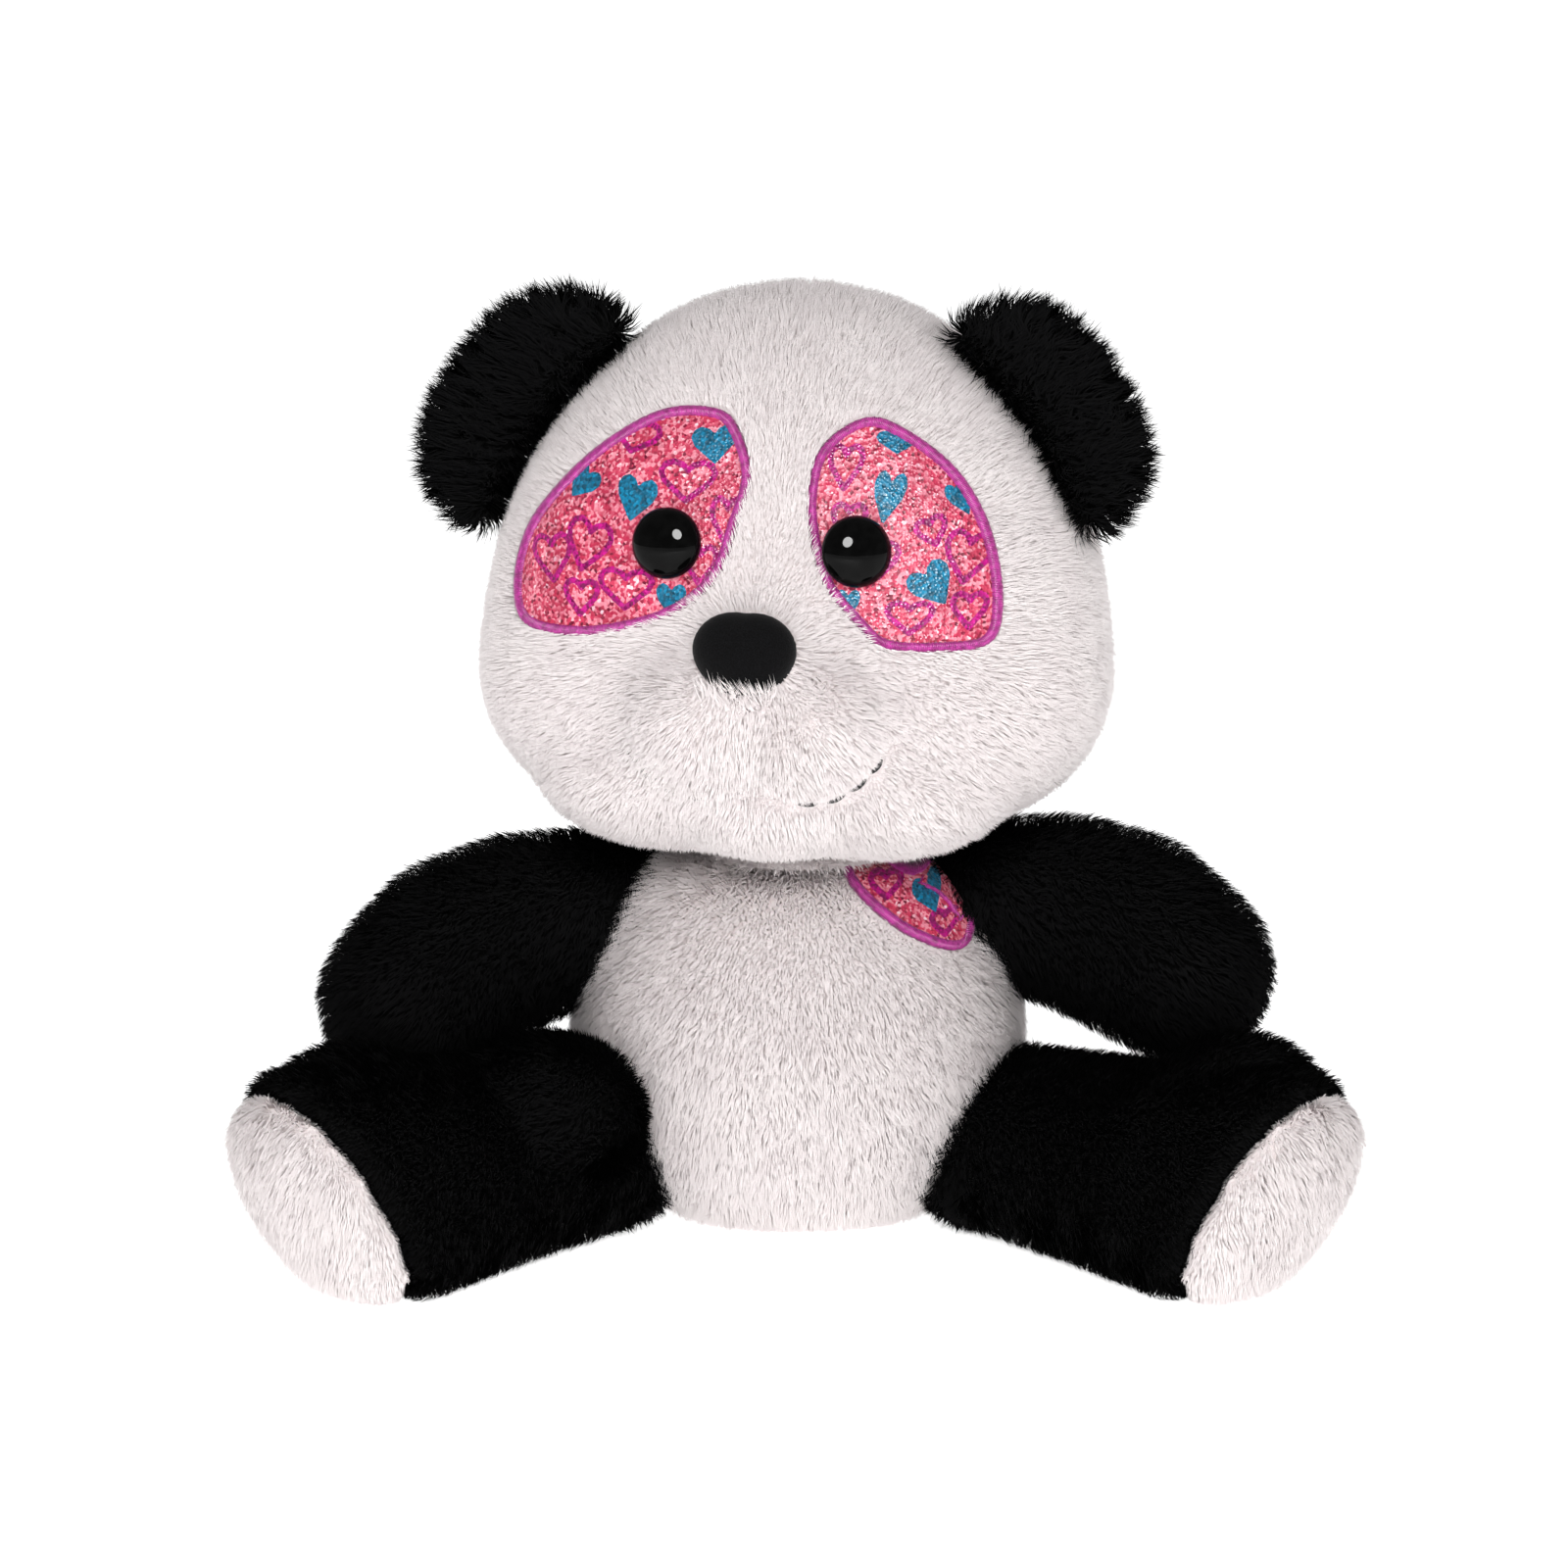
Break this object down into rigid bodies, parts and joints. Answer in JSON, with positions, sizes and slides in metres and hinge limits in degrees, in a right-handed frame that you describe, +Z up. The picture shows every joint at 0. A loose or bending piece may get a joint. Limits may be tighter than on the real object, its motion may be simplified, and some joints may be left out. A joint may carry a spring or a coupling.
{
  "type": "plush panda",
  "caption": "Seated plush panda toy with a turned head, glitter eye patches, a heart patch on the chest, and soft limbs that flop.",
  "frame": {"origin": "on the ground, under the middle of the toy's bounding box", "axes": "+Z up; the toy sits facing -Y, and its own left is on +X"},
  "size_m": [0.2804, 0.167, 0.2465],
  "materials": {
    "white_plush": "matte",
    "black_plush": "matte",
    "glitter_cloth": "matte",
    "eye_plastic": "gloss",
    "nose_flock": "matte",
    "washer_plastic": "matte",
    "fibre_filling": "matte",
    "pellet_bag_cloth": "matte",
    "mouth_thread": "matte"
  },
  "bodies": {
    "torso": {"torso_front_cover": "white_plush", "torso_back_cover": "white_plush", "seat_panel": "white_plush", "torso_stuffing": "fibre_filling", "seat_pellet_bag": "pellet_bag_cloth", "chest_heart_patch": "glitter_cloth"},
    "neck": {"neck_seam_ring": "white_plush"},
    "head": {"face_cover": "white_plush", "head_back_cover": "white_plush", "head_stuffing": "fibre_filling", "left_muzzle_pad": "white_plush", "right_muzzle_pad": "white_plush", "chin_panel": "white_plush", "nose": "nose_flock", "nose_washer": "washer_plastic", "left_eye": "eye_plastic", "left_eye_washer": "washer_plastic", "left_eye_patch": "glitter_cloth", "left_mouth_stitch": "mouth_thread", "right_eye": "eye_plastic", "right_eye_washer": "washer_plastic", "right_eye_patch": "glitter_cloth", "right_mouth_stitch": "mouth_thread"},
    "left_ear": {"left_ear_front": "black_plush", "left_ear_back": "black_plush"},
    "right_ear": {"right_ear_front": "black_plush", "right_ear_back": "black_plush"},
    "left_arm": {"left_arm_front_cover": "black_plush", "left_arm_back_cover": "black_plush", "left_arm_stuffing": "fibre_filling"},
    "right_arm": {"right_arm_front_cover": "black_plush", "right_arm_back_cover": "black_plush", "right_arm_stuffing": "fibre_filling"},
    "left_leg": {"left_leg_outer_cover": "black_plush", "left_leg_inner_cover": "black_plush", "left_leg_stuffing": "fibre_filling", "left_sole_pad": "white_plush"},
    "right_leg": {"right_leg_outer_cover": "black_plush", "right_leg_inner_cover": "black_plush", "right_leg_stuffing": "fibre_filling", "right_sole_pad": "white_plush"}
  },
  "joints": [
    {"name": "head_turn", "type": "hinge", "parent": "torso", "child": "neck", "pos_m": [-0.0005, 0.02049, 0.106], "axis": [0, 0, 1], "range_deg": [-20, 40], "stiffness_Nm_per_rad": 0.2},
    {"name": "head_nod", "type": "hinge", "parent": "neck", "child": "head", "pos_m": [-0.0005, 0.02049, 0.106], "axis": [0.9848, -0.1736, 0], "range_deg": [-8, 8], "stiffness_Nm_per_rad": 0.8},
    {"name": "left_ear_fold", "type": "hinge", "parent": "head", "child": "left_ear", "pos_m": [0.06068, -0.00452, 0.21264], "axis": [0.5436, -0.0958, -0.8339], "range_deg": [-15, 25], "stiffness_Nm_per_rad": 0.01},
    {"name": "right_ear_fold", "type": "hinge", "parent": "head", "child": "right_ear", "pos_m": [-0.06548, 0.01773, 0.21249], "axis": [0.5858, -0.1033, 0.8039], "range_deg": [-15, 25], "stiffness_Nm_per_rad": 0.01},
    {"name": "left_arm_lift", "type": "hinge", "parent": "torso", "child": "left_arm", "pos_m": [0.047, 0.02549, 0.085], "axis": [-0.5026, -0.8645, 0], "range_deg": [0, 20], "stiffness_Nm_per_rad": 0.05},
    {"name": "right_arm_lift", "type": "hinge", "parent": "torso", "child": "right_arm", "pos_m": [-0.048, 0.02549, 0.082], "axis": [-0.5026, 0.8645, 0], "range_deg": [0, 20], "stiffness_Nm_per_rad": 0.05},
    {"name": "left_leg_spread", "type": "hinge", "parent": "torso", "child": "left_leg", "pos_m": [0.051, 0.00949, 0.024], "axis": [0, 0, 1], "range_deg": [-10, 3], "stiffness_Nm_per_rad": 0.1},
    {"name": "right_leg_spread", "type": "hinge", "parent": "torso", "child": "right_leg", "pos_m": [-0.051, 0.00949, 0.024], "axis": [0, 0, -1], "range_deg": [-10, 3], "stiffness_Nm_per_rad": 0.1}
  ]
}
